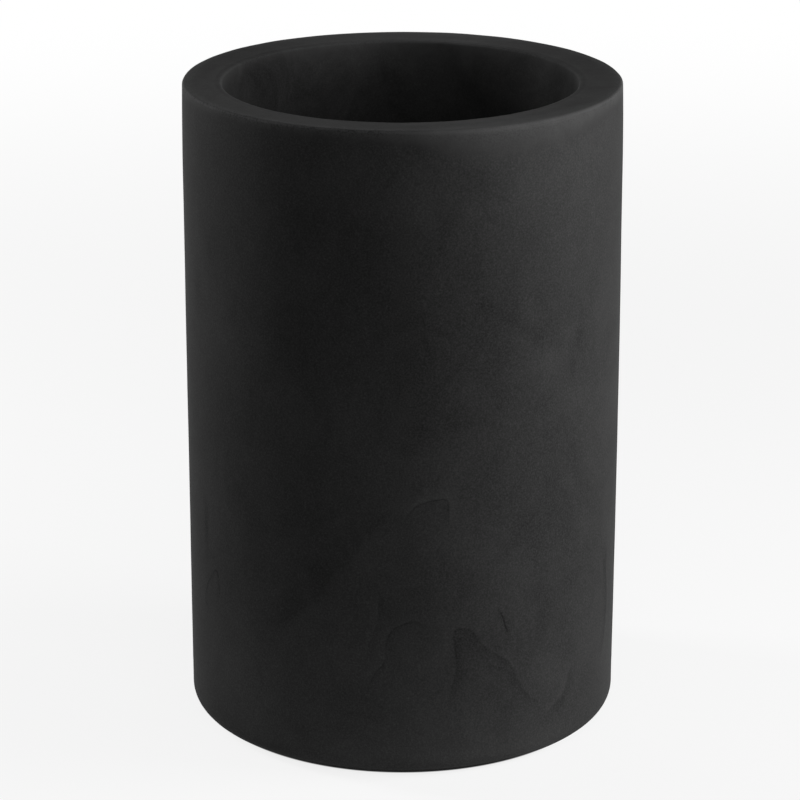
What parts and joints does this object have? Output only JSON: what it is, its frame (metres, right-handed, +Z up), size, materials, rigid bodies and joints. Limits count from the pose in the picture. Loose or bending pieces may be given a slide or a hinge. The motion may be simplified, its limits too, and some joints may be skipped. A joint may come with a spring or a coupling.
{
  "type": "tall round fibreglass planter",
  "caption": "Tall straight round planter with a hollow double wall, wide flat rim, full-depth well, plugged floor drain and rubber pads under a rounded foot.",
  "frame": {"origin": "centre of the planter on the ground, at the underside of the rubber pads", "axes": "+Z up along the planter's axis; the planter is the same all round, +X and +Y point at two of its four pads"},
  "size_m": [0.508, 0.508, 0.7645],
  "materials": {
    "charcoal_shell": "matte",
    "charcoal_liner": "matte",
    "bare_laminate": "satin",
    "plywood": "matte",
    "outlet_plastic": "satin",
    "washer_plastic": "satin",
    "strainer_steel": "satin",
    "seal_rubber": "matte",
    "plug_rubber": "matte",
    "pad_rubber": "matte"
  },
  "bodies": {
    "planter": {"outer_shell": "charcoal_shell", "liner_shell": "charcoal_liner", "base_panel": "bare_laminate", "rim_core": "plywood", "floor_core": "plywood", "drain_body": "outlet_plastic", "drain_gasket": "seal_rubber", "drain_washer": "washer_plastic", "drain_nut": "outlet_plastic", "drain_screen": "strainer_steel", "foot_pad_1": "pad_rubber", "foot_pad_2": "pad_rubber", "foot_pad_3": "pad_rubber", "foot_pad_4": "pad_rubber"},
    "plug": {"drain_plug": "plug_rubber"}
  },
  "joints": [
    {"name": "plug_lift", "type": "slide", "parent": "planter", "child": "plug", "axis": [0, 0, 1], "range_m": [0, 0.745]}
  ]
}
